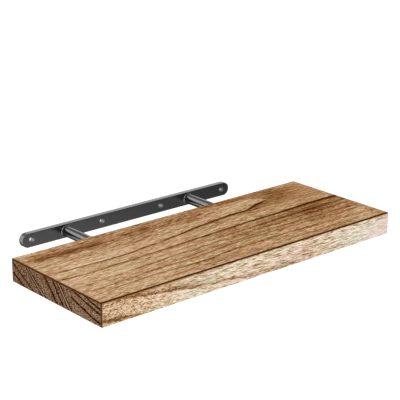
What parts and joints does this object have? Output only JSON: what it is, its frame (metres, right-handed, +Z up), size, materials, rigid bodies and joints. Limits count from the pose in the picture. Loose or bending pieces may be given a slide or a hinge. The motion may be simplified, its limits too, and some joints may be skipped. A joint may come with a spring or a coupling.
{
  "type": "floating wall shelf",
  "caption": "Thick solid wood shelf board that slides onto round steel rods welded to a flat, round-ended wall plate with open screw holes.",
  "frame": {"origin": "middle of the wall plate's back face, which lies on the wall", "axes": "+X along the shelf to the right as seen from the room, +Y into the wall, +Z up"},
  "size_m": [0.6096, 0.3296, 0.0382],
  "materials": {
    "wood_back": "matt, sanded, with dark growth rings",
    "wood_front": "matt, sanded, with a pale flecked front edge",
    "plate_steel": "satin dark grey",
    "rod_steel": "polished dark grey",
    "weld_steel": "satin dark grey"
  },
  "bodies": {
    "bracket": {"wall_plate": "plate_steel", "rod_left": "rod_steel", "rod_right": "rod_steel", "rod_weld_left": "weld_steel", "rod_weld_right": "weld_steel"},
    "board": {"back_stave": "wood_back", "front_stave": "wood_front"}
  },
  "joints": [
    {"name": "board_slide", "type": "slide", "parent": "bracket", "child": "board", "axis": [0, 1, 0], "range_m": [-0.04, 0.101]}
  ]
}
